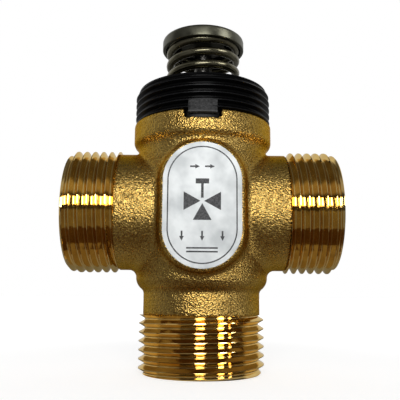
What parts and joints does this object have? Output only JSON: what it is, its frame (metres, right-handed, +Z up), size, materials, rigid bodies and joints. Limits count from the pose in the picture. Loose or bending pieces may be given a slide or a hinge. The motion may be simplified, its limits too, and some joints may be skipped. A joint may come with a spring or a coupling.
{
  "type": "three-way valve",
  "caption": "Three-way zone valve: a brass tee body with male threaded ports, a black actuator ring, and a sprung push cap that moves the plug between the seats.",
  "frame": {"origin": "centre of the lower port's sealing face, on the axis of the stem", "axes": "+Z up the stem, +X along the side ports, nameplate pad facing -Y"},
  "size_m": [0.057, 0.0313, 0.0741],
  "materials": {
    "forged_brass": "blasted forging with machined threads",
    "turned_brass": "fine turned",
    "silver_foil": "brushed foil",
    "black_plastic": "moulded, satin",
    "black_rubber": "matt",
    "spring_steel": "dark drawn wire",
    "cap_steel": "pressed, dark satin",
    "stem_steel": "ground"
  },
  "bodies": {
    "valve": {"valve_body": "forged_brass", "label": "silver_foil", "actuator_ring": "black_plastic", "bonnet": "turned_brass", "bonnet_seal": "black_rubber", "stem_seal_lower": "black_rubber", "seal_spacer": "turned_brass", "stem_seal_upper": "black_rubber", "gland_nut": "turned_brass", "spring_washer": "spring_steel", "return_spring": "spring_steel", "flow_cage": "turned_brass", "cage_seal": "black_rubber"},
    "plunger": {"push_cap": "cap_steel", "cap_clip": "spring_steel", "stem": "stem_steel", "plug_core": "turned_brass", "plug_seal_upper": "black_rubber", "plug_seal_lower": "black_rubber", "plug_washer": "stem_steel", "plug_nut": "stem_steel"}
  },
  "joints": [
    {"name": "plunger_slide", "type": "slide", "parent": "valve", "child": "plunger", "axis": [0, 0, -1], "range_m": [0, 0.003], "stiffness_N_per_m": 8800, "deforming": ["return_spring"]}
  ]
}
